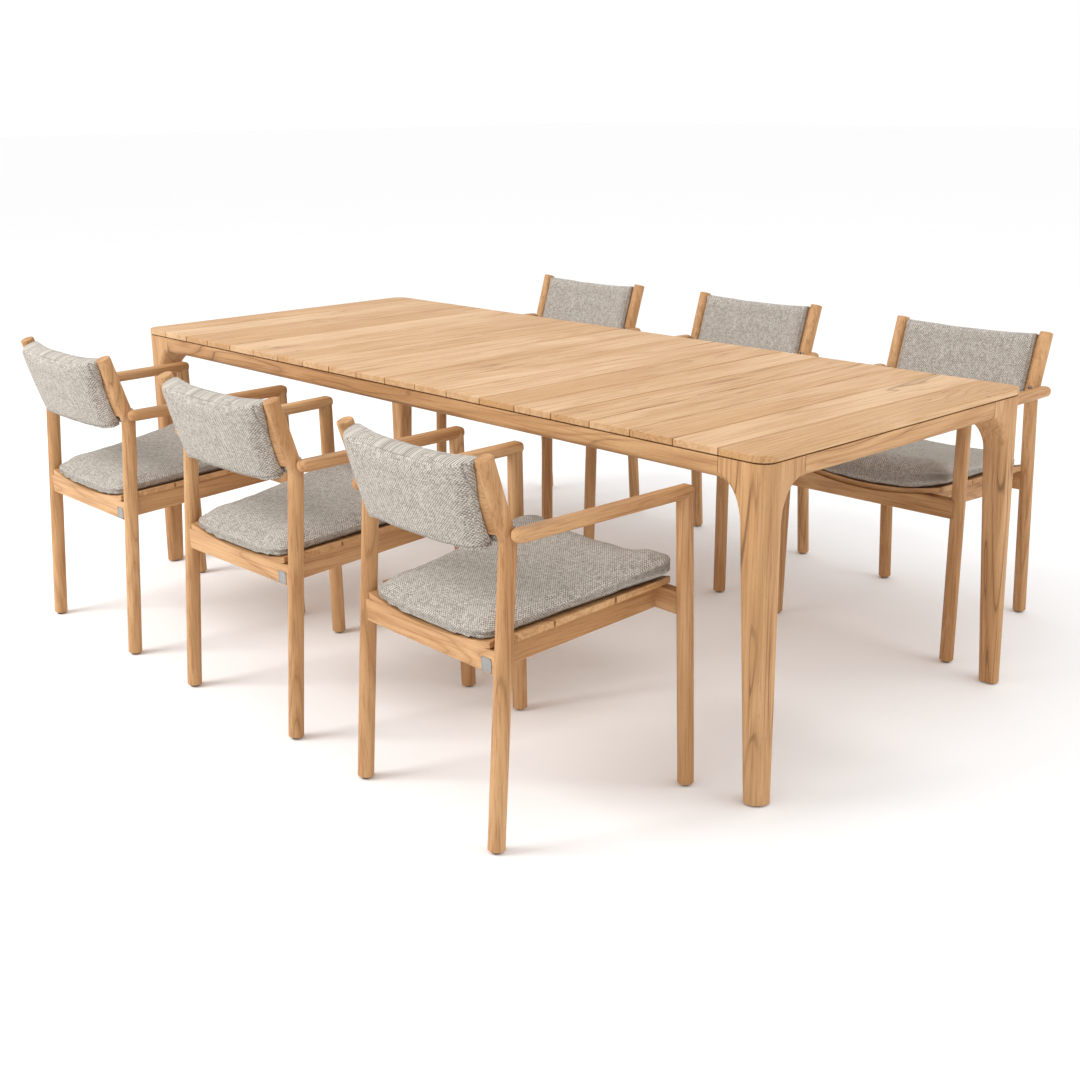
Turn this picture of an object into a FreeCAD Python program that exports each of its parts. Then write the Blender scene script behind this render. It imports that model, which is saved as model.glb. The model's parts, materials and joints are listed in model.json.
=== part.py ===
import FreeCAD, Part
import math
import os

from FreeCAD import Placement, Rotation, Vector

# Patio dining set: a slatted teak table and six armchairs with loose seat and back cushions.
# Millimetres, +Z up, +X along the table's long side.  The origin is on the ground under the
# table's centre.  A chair is built in its own frame: origin on the ground midway between its
# rear feet, +X to the sitter's right, +Y forward to the table.

# ---- table
TABLE_LENGTH = 2400.0
TABLE_WIDTH = 1000.0
TABLE_HEIGHT = 754.0
TOP_THICKNESS = 16.0
TOP_CORNER_RADIUS = 38.0
TOP_EDGE_ROUND = 2.0
SLAT_COUNT = 20
SLAT_GAP = 3.5
SHADOW_GAP = 3.0            # dark line between the top and the frame
FRAME_INSET = 2.0           # frame's outer face inside the top's edge
APRON_HEIGHT = 45.0
APRON_THICKNESS = 26.0
APRON_ROUND = 18.0          # lower outer edge of an apron
LEG_BLOCK = TABLE_LENGTH / SLAT_COUNT - FRAME_INSET     # along the table
LEG_BLOCK_ACROSS = 130.0
LEG_SHOULDER = 64.0         # leg's width under its cove
LEG_FOOT = 48.0
LEG_COVE_HEIGHT = 96.0
LEG_SPLAY = 16.0            # how far a foot stands out past its block, along the table
LEG_OUTER_ROUND = 32.0
LEG_EDGE_ROUND = 14.0
TABLE_GLIDE_RADIUS = 15.0
GLIDE_HEIGHT = 4.0
BEARER_WIDTH = 32.0
BEARER_HEIGHT = 42.0
BEARER_ROWS = (-200.0, 0.0, 200.0)
CROSS_MEMBER_ROWS = (-480.0, 480.0)
BRACKET_THICKNESS = 3.0
BRACKET_HEIGHT = 34.0
BRACKET_TAB = 34.0
BRACKET_REACH = 206.0       # from the frame's inner corner to where the bracket leaves an apron
LEG_BOLT_RADIUS = 4.0
LEG_BOLT_PROUD = 4.0        # bolt's end beyond its nut
LEG_BOLT_PLAY = 0.6         # room round the bolt in the bracket's hole
NUT_RADIUS = 8.0
NUT_HEIGHT = 7.0

# ---- chair frame
LEG_RADIUS = 18.0
LEG_END_CHAMFER = 3.0
CHAIR_GLIDE_RADIUS = 10.0
REAR_FOOT = Vector(223.0, 0.0, 0.0)
REAR_KINK = Vector(221.0, 43.6, 633.0)
POST_TOP = Vector(222.0, -11.0, 802.0)
FRONT_FOOT = Vector(273.8, 491.5, 0.0)
FRONT_TOP = Vector(265.0, 478.0, 657.0)     # on the arm's mid-line
ARM_WIDTH = 36.5
ARM_FRONT_ROUND = 12.0      # corners of the arm's front end, in plan
ARM_REAR_ROUND = 17.75
ARM_THICKNESS = 27.0
ARM_TOP = 671.0             # at the front
ARM_FALL = 6.0              # how much lower its rear end is
ARM_ROUND = 11.5
ARM_REAR = Vector(256.0, 27.0, 0.0)
RAIL_BOTTOM_REAR = 366.0
RAIL_BOTTOM_FRONT = 388.0
REAR_RAIL_THICKNESS = 27.0
REAR_RAIL_CENTRE = 27.0
RAIL_END_HEIGHT = 50.0
FRONT_RAIL_THICKNESS = 28.0
FRONT_RAIL_CENTRE = 489.0
SIDE_RAIL_OUTER = 190.0
SIDE_RAIL_THICKNESS = 24.0
RAIL_EDGE_ROUND = 3.0

# ---- seat slats: a dished surface, a cylinder whose axis runs forward and a little up
SEAT_REAR = 13.5
SEAT_FRONT = 493.0
SEAT_REAR_HEIGHT = 410.5    # top of the slats at the middle of the rear edge
SEAT_SLOPE = math.degrees(math.atan(0.0505))
SEAT_DISH_RADIUS = 909.0
SEAT_SLAT_THICKNESS = 13.0
SEAT_HALF_WIDTH = 221.0
SEAT_SLAT_JOINTS = (161.7, 328.7)
SEAT_SLAT_GAP = 4.0
SEAT_CORNER_ROUND = 10.0
NOTCH_HALF_WIDTH = 198.0    # rear slat between the rear legs
NOTCH_DEPTH = 52.0
NOTCH_ROUND = 8.0

# ---- back panel, in the plane that leans with the rear posts
BACK_BOW = 26.0             # how far the panel's middle lies behind its ends
BACK_THICKNESS = 13.0
BACK_HALF_WIDTH = 206.0
BACK_BOTTOM = 12.0          # along the post, from the kink
BACK_TOP = 163.0

# ---- loose cushions
CUSHION_THICKNESS = 45.0
CUSHION_CLEARANCE = 0.6
CUSHION_REAR = 6.0
CUSHION_FRONT = 505.0
CUSHION_REAR_HALF_WIDTH = 192.0
CUSHION_FRONT_HALF_WIDTH = 240.0
CUSHION_CORNER_ROUND = 38.0
CUSHION_EDGE_ROUND = 14.0
SLEEVE_HALF_WIDTH = 200.0
SLEEVE_BACK_LAYER = 22.0
SLEEVE_FRONT_LAYER = 17.0
SLEEVE_CLEARANCE = 0.5
SLEEVE_HANG = 29.0          # below the panel's lower edge
SLEEVE_OVER = 10.0          # fabric over the panel's top edge
SLEEVE_EDGE_ROUND = 5.0

# ---- small fittings of a chair
PLATE_SIZE = 29.0
PLATE_THICKNESS = 1.2
PLATE_CENTRE_X = 188.0
BOLT_RADIUS = 5.0
BOLT_STAND_OUT = 4.0
BOLT_ALONG_POST = 21.0

# ---- where each chair stands: its origin and its turn about +Z in degrees
CHAIR_PLACES = (
    (-744.0, -977.0, -0.6),
    (12.0, -980.0, 0.5),
    (736.0, -993.5, -2.0),
    (-752.0, 1008.0, 180.3),
    (-15.0, 1015.5, 180.4),
    (757.0, 998.0, 181.2),
)

UP = Vector(0, 0, 1)
SEAT_SPAN = (300.0, 600.0)  # heights that safely hold the whole seat and its cushion
BEYOND = 1.0                # how far a cutting shape passes the face that it cuts
FRAME_TOP = TABLE_HEIGHT - TOP_THICKNESS - SHADOW_GAP
APRON_BOTTOM = FRAME_TOP - APRON_HEIGHT
FRAME_HALF_LENGTH = TABLE_LENGTH / 2 - FRAME_INSET
FRAME_HALF_WIDTH = TABLE_WIDTH / 2 - FRAME_INSET
CORNERS = ((-1, -1), (1, -1), (1, 1), (-1, 1))


def block(low, high):
    """A box between two corners."""
    low, high = Vector(*low), Vector(*high)
    size = high - low
    return Part.makeBox(size.x, size.y, size.z, low)


def rod(start, end, radius):
    """A cylinder from one point to another."""
    return Part.makeCylinder(radius, (end - start).Length, start, end - start)


def fillet_where(shape, radius, wanted):
    """Round every edge whose middle point and direction satisfy wanted(middle, direction)."""
    edges = []
    for edge in shape.Edges:
        middle = edge.valueAt((edge.FirstParameter + edge.LastParameter) / 2)
        direction = edge.tangentAt((edge.FirstParameter + edge.LastParameter) / 2)
        if wanted(middle, direction):
            edges.append(edge)
    return shape.makeFillet(radius, edges)


def prism(corners, height):
    """A vertical prism over a closed outline given by its corners."""
    outline = Part.makePolygon(corners + corners[:1])
    return Part.Face(outline).extrude(height)


def mirrored(shape):
    """The other side of a chair's piece."""
    return shape.mirror(Vector(0, 0, 0), Vector(1, 0, 0))


def both_sides(shape):
    """A chair's piece and its mirror image."""
    return Part.makeCompound([shape, mirrored(shape)])


def joined(compound):
    """One solid from overlapping ones, with the seams between its faces removed."""
    return compound[0].fuse(compound[1:]).removeSplitter()


# ================================================================ table
def top_slats():
    """The boards across the table, the two end ones with rounded outer corners."""
    pitch = TABLE_LENGTH / SLAT_COUNT
    half_width = TABLE_WIDTH / 2
    last = SLAT_COUNT - 1
    boards = []
    for index in range(SLAT_COUNT):
        start = index * pitch - TABLE_LENGTH / 2
        end = start + pitch
        start += SLAT_GAP / 2 if index > 0 else 0
        end -= SLAT_GAP / 2 if index < last else 0
        board = block(
            (start, -half_width, TABLE_HEIGHT - TOP_THICKNESS), (end, half_width, TABLE_HEIGHT)
        )
        if index in (0, last):
            board = fillet_where(
                board,
                TOP_CORNER_RADIUS,
                lambda middle, along: abs(along.z) > 0.9 and abs(middle.x) > TABLE_LENGTH / 2 - 1,
            )
        board = fillet_where(board, TOP_EDGE_ROUND, lambda middle, along: abs(along.z) < 0.1)
        boards.append(board)
    return Part.makeCompound(boards)


def leg_outline(inward, sideways, block_width, splay):
    """One side view of a table leg, swept sideways: its foot splayed, its inside tapered and coved."""
    def at(reach, height):
        return inward * reach + UP * height

    cove_bottom = APRON_BOTTOM - LEG_COVE_HEIGHT
    centre = at(block_width, cove_bottom)
    ellipse = Part.Ellipse(
        centre + UP * LEG_COVE_HEIGHT, centre - inward * (block_width - LEG_SHOULDER), centre
    )
    cove = Part.ArcOfEllipse(ellipse, 0, math.pi / 2).toShape()
    corners = [
        at(LEG_SHOULDER, cove_bottom),
        at(LEG_FOOT - splay, GLIDE_HEIGHT),
        at(-splay, GLIDE_HEIGHT),
        at(0, APRON_BOTTOM),
        at(0, FRAME_TOP),
        at(block_width, FRAME_TOP),
        at(block_width, APRON_BOTTOM),
    ]
    lines = [Part.makeLine(a, b) for a, b in zip(corners, corners[1:])]
    outline = Part.Face(Part.Wire([cove] + lines))
    outline.translate(sideways * -LEG_SPLAY)
    return outline.extrude(sideways * (LEG_BLOCK_ACROSS + LEG_SPLAY))


def table_leg():
    """A leg with its block's outer corner at the origin, its other faces towards +X and +Y."""
    x_way, y_way = Vector(1, 0, 0), Vector(0, 1, 0)
    side = leg_outline(x_way, y_way, LEG_BLOCK, LEG_SPLAY)
    leg = side.common(leg_outline(y_way, x_way, LEG_BLOCK_ACROSS, 0))
    leg = fillet_where(
        leg,
        LEG_OUTER_ROUND,
        lambda middle, along: abs(along.z) > 0.99 and max(middle.x, middle.y) < 1,
    )
    below_shoulder = APRON_BOTTOM - LEG_COVE_HEIGHT
    return fillet_where(
        leg,
        LEG_EDGE_ROUND,
        lambda middle, along: abs(along.z) > 0.9
        and middle.z < below_shoulder
        and max(middle.x, middle.y) > LEG_FOOT / 2,
    )


def at_corner(shape, x_side, y_side):
    """A copy of a corner piece at the frame's corner on these sides, each -1 or 1."""
    copy = shape.copy()
    copy.translate(Vector(-FRAME_HALF_LENGTH, -FRAME_HALF_WIDTH, 0))
    if x_side > 0:
        copy = copy.mirror(Vector(0, 0, 0), Vector(1, 0, 0))
    if y_side > 0:
        copy = copy.mirror(Vector(0, 0, 0), Vector(0, 1, 0))
    return copy


def long_apron(side):
    """An apron along the table; side is -1 or 1."""
    half = FRAME_HALF_LENGTH - LEG_BLOCK
    outer = FRAME_HALF_WIDTH
    apron = block((-half, outer - APRON_THICKNESS, APRON_BOTTOM), (half, outer, FRAME_TOP))
    apron = fillet_where(
        apron,
        APRON_ROUND,
        lambda middle, along: abs(along.x) > 0.9
        and middle.z < APRON_BOTTOM + 1
        and middle.y > outer - 1,
    )
    return apron if side > 0 else apron.mirror(Vector(0, 0, 0), Vector(0, 1, 0))


def short_apron(side):
    """An apron across the table's end; side is -1 or 1."""
    half = FRAME_HALF_WIDTH - LEG_BLOCK_ACROSS
    outer = FRAME_HALF_LENGTH
    apron = block((outer - APRON_THICKNESS, -half, APRON_BOTTOM), (outer, half, FRAME_TOP))
    apron = fillet_where(
        apron,
        APRON_ROUND,
        lambda middle, along: abs(along.y) > 0.9
        and middle.z < APRON_BOTTOM + 1
        and middle.x > outer - 1,
    )
    return apron if side > 0 else apron.mirror(Vector(0, 0, 0), Vector(1, 0, 0))


def bearers():
    """Rails under the boards, with short cross members between them and the long aprons."""
    top = TABLE_HEIGHT - TOP_THICKNESS
    inner_length = FRAME_HALF_LENGTH - APRON_THICKNESS
    inner_width = FRAME_HALF_WIDTH - APRON_THICKNESS
    rails = [
        block(
            (-inner_length, row - BEARER_WIDTH / 2, top - BEARER_HEIGHT),
            (inner_length, row + BEARER_WIDTH / 2, top),
        )
        for row in BEARER_ROWS
    ]
    edges = [row + side * BEARER_WIDTH / 2 for row in BEARER_ROWS for side in (-1, 1)]
    edges = [-inner_width] + edges + [inner_width]
    crosses = [
        block(
            (row - BEARER_WIDTH / 2, start, top - BEARER_HEIGHT),
            (row + BEARER_WIDTH / 2, end, top - SHADOW_GAP),
        )
        for row in CROSS_MEMBER_ROWS
        for start, end in zip(edges[::2], edges[1::2])
    ]
    return Part.makeCompound(rails + crosses)


def corner_bracket():
    """A bent plate across the frame's inner corner, and the bolt and nut that draw the leg in."""
    inner = APRON_THICKNESS
    near, far = inner + BRACKET_THICKNESS, inner + BRACKET_REACH
    low = FRAME_TOP - (APRON_HEIGHT + BRACKET_HEIGHT) / 2
    slant = BRACKET_THICKNESS * math.tan(math.pi / 8)
    outline = [
        Vector(far + BRACKET_TAB, inner, low),
        Vector(far, inner, low),
        Vector(inner, far, low),
        Vector(inner, far + BRACKET_TAB, low),
        Vector(near, far + BRACKET_TAB, low),
        Vector(near, far + slant, low),
        Vector(far + slant, near, low),
        Vector(far + BRACKET_TAB, near, low),
    ]
    plate = prism(outline, UP * BRACKET_HEIGHT)
    diagonal = Vector(1, 1, 0).normalize()
    middle = Vector((inner + far) / 2, (inner + far) / 2, low + BRACKET_HEIGHT / 2)
    block_corner = Vector(LEG_BLOCK, LEG_BLOCK, middle.z)   # inside the leg, near its inner edge
    outside = middle + diagonal * BRACKET_THICKNESS
    bolt = rod(block_corner, outside + diagonal * (NUT_HEIGHT + LEG_BOLT_PROUD), LEG_BOLT_RADIUS)
    bolt = bolt.cut(table_leg())
    hole = rod(block_corner, outside + diagonal * NUT_HEIGHT, LEG_BOLT_RADIUS + LEG_BOLT_PLAY)
    nut = rod(outside, outside + diagonal * NUT_HEIGHT, NUT_RADIUS).cut(bolt)
    return Part.makeCompound([plate.cut(hole), bolt, nut])


def table_glide():
    """The low disc under a table leg's foot."""
    middle = Vector(LEG_FOOT / 2 - LEG_SPLAY, LEG_FOOT / 2, 0)
    return rod(middle, middle + UP * GLIDE_HEIGHT, TABLE_GLIDE_RADIUS)


# ================================================================ chair
def seat_frame(shape):
    """Move a shape from the level frame at the seat's rear edge to the sloping seat."""
    shape.Placement = Placement(
        Vector(0, SEAT_REAR, SEAT_REAR_HEIGHT), Rotation(Vector(1, 0, 0), SEAT_SLOPE)
    )
    return shape


def dish(height_above):
    """The solid inside the dished surface that lies this far above the slats' top."""
    start = Vector(0, -SEAT_FRONT, SEAT_DISH_RADIUS)
    end = Vector(0, 2 * SEAT_FRONT, SEAT_DISH_RADIUS)
    return seat_frame(rod(start, end, SEAT_DISH_RADIUS - height_above))


def seat_under_surface():
    """Everything above the slats' underside: what the rails are shaped to."""
    return dish(-SEAT_SLAT_THICKNESS)


def rear_leg():
    """The right rear leg: it rakes forward to the kink and its post leans back above it."""
    lower_start = REAR_FOOT + (REAR_KINK - REAR_FOOT).normalize() * GLIDE_HEIGHT
    lower = rod(lower_start, REAR_KINK, LEG_RADIUS)
    lower = lower.makeChamfer(LEG_END_CHAMFER, [edge_nearest(lower, lower_start)])
    post = rod(REAR_KINK, POST_TOP, LEG_RADIUS)
    post = post.makeFillet(LEG_END_CHAMFER, [edge_nearest(post, POST_TOP)])
    knee = Part.makeSphere(LEG_RADIUS, REAR_KINK)
    return joined([lower, knee, post])


def edge_nearest(shape, point):
    """The round edge whose centre is nearest to a point."""
    rounds = [edge for edge in shape.Edges if isinstance(edge.Curve, Part.Circle)]
    return min(rounds, key=lambda edge: (edge.Curve.Center - point).Length)


def front_leg():
    """The right front leg, its top shaped to the arm's rounded underside."""
    start = FRONT_FOOT + (FRONT_TOP - FRONT_FOOT).normalize() * GLIDE_HEIGHT
    leg = rod(start, FRONT_TOP, LEG_RADIUS)
    leg = leg.makeChamfer(LEG_END_CHAMFER, [edge_nearest(leg, start)])
    return leg.cut(plain_arm())


def plain_arm():
    """The right arm: a rounded bar, its rear end round in plan and its front end cut flat."""
    front = Vector(FRONT_TOP.x, FRONT_TOP.y + LEG_RADIUS, 0)
    along = front - ARM_REAR
    length = along.Length
    half = ARM_WIDTH / 2
    arm = block((-half, 0, -ARM_THICKNESS), (half, length, 0))
    arm = fillet_where(arm, ARM_REAR_ROUND, lambda middle, way: abs(way.z) > 0.9 and middle.y < 1)
    arm = fillet_where(
        arm, ARM_FRONT_ROUND, lambda middle, way: abs(way.z) > 0.9 and middle.y > length - 1
    )
    arm = fillet_where(
        arm, ARM_ROUND, lambda middle, way: abs(way.z) < 0.1 and middle.y < length - ARM_FRONT_ROUND
    )
    turn = math.degrees(math.atan2(-along.x, along.y))
    climb = math.degrees(math.atan2(ARM_FALL, length))
    arm.Placement = Placement(
        ARM_REAR + UP * (ARM_TOP - ARM_FALL),
        Rotation(UP, turn).multiply(Rotation(Vector(1, 0, 0), climb)),
    )
    return arm


def arm():
    """The right arm, shaped round the post that it is lapped against."""
    return plain_arm().cut(rear_leg())


def rear_rail():
    """The rail between the rear legs, its top dished like the slats that lie on it."""
    centre, half = REAR_RAIL_CENTRE, REAR_RAIL_THICKNESS / 2
    top = RAIL_BOTTOM_REAR + RAIL_END_HEIGHT
    reach = REAR_FOOT.x
    rail = block((-reach, centre - half, RAIL_BOTTOM_REAR), (reach, centre + half, top))
    rail = fillet_where(rail, RAIL_EDGE_ROUND, lambda middle, way: abs(way.x) > 0.9)
    leg = rear_leg()
    return rail.cut(leg).cut(mirrored(leg)).cut(seat_under_surface())


def front_rail():
    """The rail between the front legs."""
    centre, half = FRONT_RAIL_CENTRE, FRONT_RAIL_THICKNESS / 2
    top = RAIL_BOTTOM_FRONT + RAIL_END_HEIGHT
    reach = FRONT_TOP.x
    rail = block((-reach, centre - half, RAIL_BOTTOM_FRONT), (reach, centre + half, top))
    rail = fillet_where(rail, RAIL_EDGE_ROUND, lambda middle, way: abs(way.x) > 0.9)
    leg = front_leg()
    return rail.cut(leg).cut(mirrored(leg)).cut(seat_under_surface())


def side_rail():
    """The right side rail, from the rear rail to the front rail, rising as the seat does."""
    start = REAR_RAIL_CENTRE + REAR_RAIL_THICKNESS / 2
    end = FRONT_RAIL_CENTRE - FRONT_RAIL_THICKNESS / 2
    rise = RAIL_BOTTOM_FRONT - RAIL_BOTTOM_REAR
    inner = SIDE_RAIL_OUTER - SIDE_RAIL_THICKNESS
    top = SEAT_REAR_HEIGHT + RAIL_END_HEIGHT
    outline = [
        Vector(inner, start, RAIL_BOTTOM_REAR),
        Vector(inner, end, RAIL_BOTTOM_REAR + rise),
        Vector(inner, end, top),
        Vector(inner, start, top),
    ]
    rail = prism(outline, Vector(SIDE_RAIL_THICKNESS, 0, 0))
    rail = fillet_where(
        rail, RAIL_EDGE_ROUND, lambda middle, way: abs(way.y) > 0.9 and middle.z < RAIL_BOTTOM_FRONT
    )
    return rail.cut(seat_under_surface())


def leg_notch():
    """What is cut from the rear slat to clear the right rear leg."""
    end = SEAT_REAR + NOTCH_DEPTH
    notch = block(
        (NOTCH_HALF_WIDTH, SEAT_REAR - BEYOND, SEAT_SPAN[0]),
        (SEAT_HALF_WIDTH + BEYOND, end, SEAT_SPAN[1]),
    )
    return fillet_where(
        notch,
        NOTCH_ROUND,
        lambda middle, way: abs(way.z) > 0.9 and middle.x < SEAT_HALF_WIDTH and middle.y > end - 1,
    )


def seat_slats():
    """Three wide boards across the seat, dished, the rear one notched between the legs."""
    half = SEAT_HALF_WIDTH
    shell = dish(-SEAT_SLAT_THICKNESS).cut(dish(0))
    edges = (SEAT_REAR,) + SEAT_SLAT_JOINTS + (SEAT_FRONT,)
    boards = []
    for index, (start, end) in enumerate(zip(edges, edges[1:])):
        low = start + (SEAT_SLAT_GAP / 2 if index else 0)
        high = end - (SEAT_SLAT_GAP / 2 if index < len(edges) - 2 else 0)
        blank = block((-half, low, SEAT_SPAN[0]), (half, high, SEAT_SPAN[1]))
        if index == 0:
            blank = blank.cut(leg_notch()).cut(mirrored(leg_notch()))
        blank = fillet_where(
            blank,
            SEAT_CORNER_ROUND if index == 2 else RAIL_EDGE_ROUND,
            lambda middle, way: abs(way.z) > 0.9 and abs(middle.x) > half - 1 and middle.y > end - 3,
        )
        boards.append(blank.common(shell))
    return Part.makeCompound(boards)


def back_frame(shape):
    """Move a shape from the level frame to the one that leans with the rear posts."""
    lean = math.degrees(math.atan2(REAR_KINK.y - POST_TOP.y, POST_TOP.z - REAR_KINK.z))
    shape.Placement = Placement(
        Vector(0, REAR_KINK.y, REAR_KINK.z), Rotation(Vector(1, 0, 0), lean)
    )
    return shape


def bowed_sheet(inner, outer, half_width, bottom, top):
    """A sheet bowed backwards between the posts, from inner to outer forward of its mid-line."""
    radius = (BACK_HALF_WIDTH**2 + BACK_BOW**2) / (2 * BACK_BOW)
    centre = Vector(0, radius - BACK_BOW, bottom)
    height = top - bottom
    near = Part.makeCylinder(radius - inner, height, centre)
    far = Part.makeCylinder(radius - outer, height, centre)
    window = block(
        (-half_width, -radius, bottom - BEYOND), (half_width, radius / 2, top + BEYOND)
    )
    return near.cut(far).common(window)


def backrest():
    """The bowed panel between the posts."""
    half = BACK_THICKNESS / 2
    panel = bowed_sheet(-half, half, BACK_HALF_WIDTH, BACK_BOTTOM, BACK_TOP)
    panel = back_frame(panel)
    leg = rear_leg()
    return panel.cut(leg).cut(mirrored(leg))


def back_cushion():
    """The padded sleeve that hangs over the panel, open below so that it lifts off."""
    half = BACK_THICKNESS / 2
    pad = bowed_sheet(
        -half - SLEEVE_BACK_LAYER,
        half + SLEEVE_FRONT_LAYER,
        SLEEVE_HALF_WIDTH,
        BACK_BOTTOM - SLEEVE_HANG,
        BACK_TOP + SLEEVE_OVER,
    )
    top = BACK_TOP + SLEEVE_OVER
    pad = fillet_where(pad, SLEEVE_EDGE_ROUND, lambda middle, way: middle.z > top - 1)
    slot = bowed_sheet(
        -half - SLEEVE_CLEARANCE,
        half + SLEEVE_CLEARANCE,
        BACK_HALF_WIDTH,
        BACK_BOTTOM - SLEEVE_HANG - BEYOND,
        BACK_TOP + SLEEVE_CLEARANCE,
    )
    return back_frame(pad.cut(slot))


def seat_cushion():
    """The seat pad: narrower behind, where it lies between the rear legs, and dished as the slats."""
    low, high = SEAT_SPAN
    corners = [
        Vector(-CUSHION_REAR_HALF_WIDTH, CUSHION_REAR, low),
        Vector(CUSHION_REAR_HALF_WIDTH, CUSHION_REAR, low),
        Vector(CUSHION_FRONT_HALF_WIDTH, CUSHION_FRONT, low),
        Vector(-CUSHION_FRONT_HALF_WIDTH, CUSHION_FRONT, low),
    ]
    plan = prism(corners, UP * (high - low))
    plan = fillet_where(plan, CUSHION_CORNER_ROUND, lambda middle, way: abs(way.z) > 0.9)
    pad = plan.common(dish(CUSHION_CLEARANCE)).cut(dish(CUSHION_THICKNESS))
    return fillet_where(pad, CUSHION_EDGE_ROUND, lambda middle, way: abs(way.z) < 0.5)


def fittings():
    """Glides under the feet, the bolt heads that hold the arms, and the blank plate behind."""
    pieces = []
    for foot, leg in ((REAR_FOOT, rear_leg()), (FRONT_FOOT, front_leg())):
        glide = rod(foot, foot + UP * GLIDE_HEIGHT, CHAIR_GLIDE_RADIUS).cut(leg)
        pieces += [glide, mirrored(glide)]
    up_post = (POST_TOP - REAR_KINK).normalize()
    ahead = Vector(0, up_post.z, -up_post.y)
    on_post = REAR_KINK + up_post * BOLT_ALONG_POST
    bolt = rod(on_post, on_post + ahead * (LEG_RADIUS + BOLT_STAND_OUT), BOLT_RADIUS).cut(rear_leg())
    pieces += [bolt, mirrored(bolt)]
    half = PLATE_SIZE / 2
    face = REAR_RAIL_CENTRE - REAR_RAIL_THICKNESS / 2
    low = RAIL_BOTTOM_REAR + RAIL_EDGE_ROUND
    pieces.append(
        block(
            (PLATE_CENTRE_X - half, face - PLATE_THICKNESS, low),
            (PLATE_CENTRE_X + half, face, low + PLATE_SIZE),
        )
    )
    return Part.makeCompound(pieces)


def chair_pieces():
    """Every piece of one chair, in the chair's own frame."""
    return {
        "legs": Part.makeCompound([both_sides(rear_leg()), both_sides(front_leg())]),
        "arms": both_sides(arm()),
        "seat_rails": Part.makeCompound([rear_rail(), front_rail(), both_sides(side_rail())]),
        "seat_slats": seat_slats(),
        "backrest": backrest(),
        "fittings": fittings(),
        "seat_cushion": seat_cushion(),
        "back_cushion": back_cushion(),
    }


def table_pieces():
    """Every piece of the table."""
    pieces = {
        "table_top_slats": top_slats(),
        "table_bearers": bearers(),
        "table_long_apron_near": long_apron(-1),
        "table_long_apron_far": long_apron(1),
        "table_short_apron_left": short_apron(-1),
        "table_short_apron_right": short_apron(1),
        "table_corner_brackets": Part.makeCompound(
            [at_corner(corner_bracket(), *sides) for sides in CORNERS]
        ),
        "table_glides": Part.makeCompound([at_corner(table_glide(), *sides) for sides in CORNERS]),
    }
    for number, sides in enumerate(CORNERS, start=1):
        pieces[f"table_leg_{number}"] = at_corner(table_leg(), *sides)
    return pieces


def flat_solids(shape):
    """The solids of a shape as one compound with no nesting."""
    return shape.Solids[0] if len(shape.Solids) == 1 else Part.makeCompound(shape.Solids)


def main():
    """Write one STEP file for each piece."""
    os.makedirs("parts", exist_ok=True)
    pieces = table_pieces()
    chair = chair_pieces()
    for number, (x, y, turn) in enumerate(CHAIR_PLACES, start=1):
        place = Placement(Vector(x, y, 0), Rotation(UP, turn))
        for name, shape in chair.items():
            solids = flat_solids(shape).copy()
            solids.Placement = place.multiply(solids.Placement)
            pieces[f"chair_{number}_{name}"] = solids
    for name, shape in pieces.items():
        flat_solids(shape).exportStep(f"parts/{name}.step")


main()
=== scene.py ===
import json
import math

import bpy
from mathutils import Matrix, Vector, noise
from mathutils.bvhtree import BVHTree


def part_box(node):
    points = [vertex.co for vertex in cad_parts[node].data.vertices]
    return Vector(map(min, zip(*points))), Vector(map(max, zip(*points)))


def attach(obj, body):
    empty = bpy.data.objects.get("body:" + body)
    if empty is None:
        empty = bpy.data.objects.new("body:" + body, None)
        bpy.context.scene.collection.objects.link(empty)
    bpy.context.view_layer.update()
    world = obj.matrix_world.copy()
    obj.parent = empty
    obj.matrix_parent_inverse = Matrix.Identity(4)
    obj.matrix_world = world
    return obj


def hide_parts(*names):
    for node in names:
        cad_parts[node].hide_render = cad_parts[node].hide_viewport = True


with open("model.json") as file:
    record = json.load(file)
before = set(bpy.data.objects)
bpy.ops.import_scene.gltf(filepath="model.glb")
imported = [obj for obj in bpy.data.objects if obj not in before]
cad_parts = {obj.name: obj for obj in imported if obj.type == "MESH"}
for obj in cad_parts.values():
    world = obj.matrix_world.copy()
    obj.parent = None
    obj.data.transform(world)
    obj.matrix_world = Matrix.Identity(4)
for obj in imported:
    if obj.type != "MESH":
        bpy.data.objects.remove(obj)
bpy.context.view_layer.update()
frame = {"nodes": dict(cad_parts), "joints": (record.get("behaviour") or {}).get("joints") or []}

bl_info = {
    "name": "Patio dining set",
    "version": (1, 0, 0),
    "blender": (4, 5, 0),
    "location": "3D View > Sidebar > Patio",
    "description": "Finishes, cushions and fittings for a slatted table and six armchairs",
    "category": "Add Mesh",
}

MM = 0.001
CHAIRS = range(1, 7)
TOP_SLATS = 20
CLOTH_UV = "cloth"
SEAM = "seam"

# studio
FLOOR_SIZE = 120.0
FLOOR_DROP = 0.5 * MM
AIM_POINT = (0, 0, 0.5)
KEY_PLACE, KEY_SIZE = (-2.2, -4.6, 4.2), 2.6
FILL_PLACE, FILL_SIZE = (4.5, 1.5, 3.0), 3.0
CAMERA_PLACE = (2.8625, -2.6805, 1.4212)
CAMERA_YAW, CAMERA_PITCH, CAMERA_ROLL = (math.radians(a) for a in (-46.5236, 17.0443, -0.48))
CAMERA_LENS = 47.98
SENSOR_WIDTH = 36.0

# teak: how strongly the dark growth lines show on each kind of piece
TOP_LINES = 0.5
FRAME_LINES = 0.8
CHAIR_LEG_LINES = 0.4
CHAIR_ARM_LINES = 0.25
CHAIR_RAIL_LINES = 0.3

# weave
WEAVE_OFFSET = 1e5              # keeps the count of yarns above zero

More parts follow.
